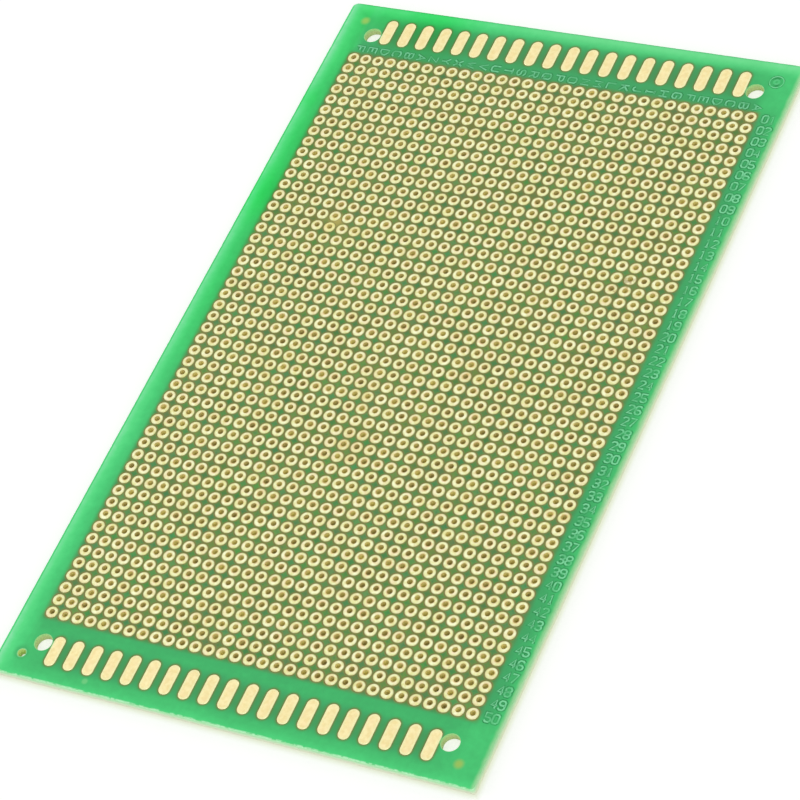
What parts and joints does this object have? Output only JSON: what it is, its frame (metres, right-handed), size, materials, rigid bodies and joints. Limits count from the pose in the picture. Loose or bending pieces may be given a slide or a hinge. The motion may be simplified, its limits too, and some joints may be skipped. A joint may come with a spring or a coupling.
{
  "type": "prototype board",
  "caption": "Flat single-sided circuit board with a grid of drilled round pads, long pads along both ends and corner mounting holes.",
  "frame": {"origin": "middle of the board's bare underside", "axes": "+X across the board to the side with the row numbers, +Y along the board to the lettered end, +Z out of the copper side"},
  "size_m": [0.09, 0.15, 0.0016],
  "materials": {
    "laminate": "sawn glass-epoxy, slightly translucent",
    "lacquer": "glossy green lacquer film",
    "pad_copper": "satin, pale gold"
  },
  "bodies": {
    "root": {"laminate": "laminate", "solder_mask": "lacquer", "pad_column_a": "pad_copper", "pad_column_b": "pad_copper", "pad_column_c": "pad_copper", "pad_column_d": "pad_copper", "pad_column_e": "pad_copper", "pad_column_f": "pad_copper", "pad_column_g": "pad_copper", "pad_column_h": "pad_copper", "pad_column_i": "pad_copper", "pad_column_j": "pad_copper", "pad_column_k": "pad_copper", "pad_column_l": "pad_copper", "pad_column_m": "pad_copper", "pad_column_n": "pad_copper", "pad_column_o": "pad_copper", "pad_column_p": "pad_copper", "pad_column_q": "pad_copper", "pad_column_r": "pad_copper", "pad_column_s": "pad_copper", "pad_column_t": "pad_copper", "pad_column_u": "pad_copper", "pad_column_v": "pad_copper", "pad_column_w": "pad_copper", "pad_column_x": "pad_copper", "pad_column_y": "pad_copper", "pad_column_z": "pad_copper", "pad_column_a2": "pad_copper", "pad_column_b2": "pad_copper", "pad_column_c2": "pad_copper", "pad_column_d2": "pad_copper", "pad_column_e2": "pad_copper", "pad_column_f2": "pad_copper", "back_edge_pads": "pad_copper", "front_edge_pads": "pad_copper"}
  },
  "joints": []
}
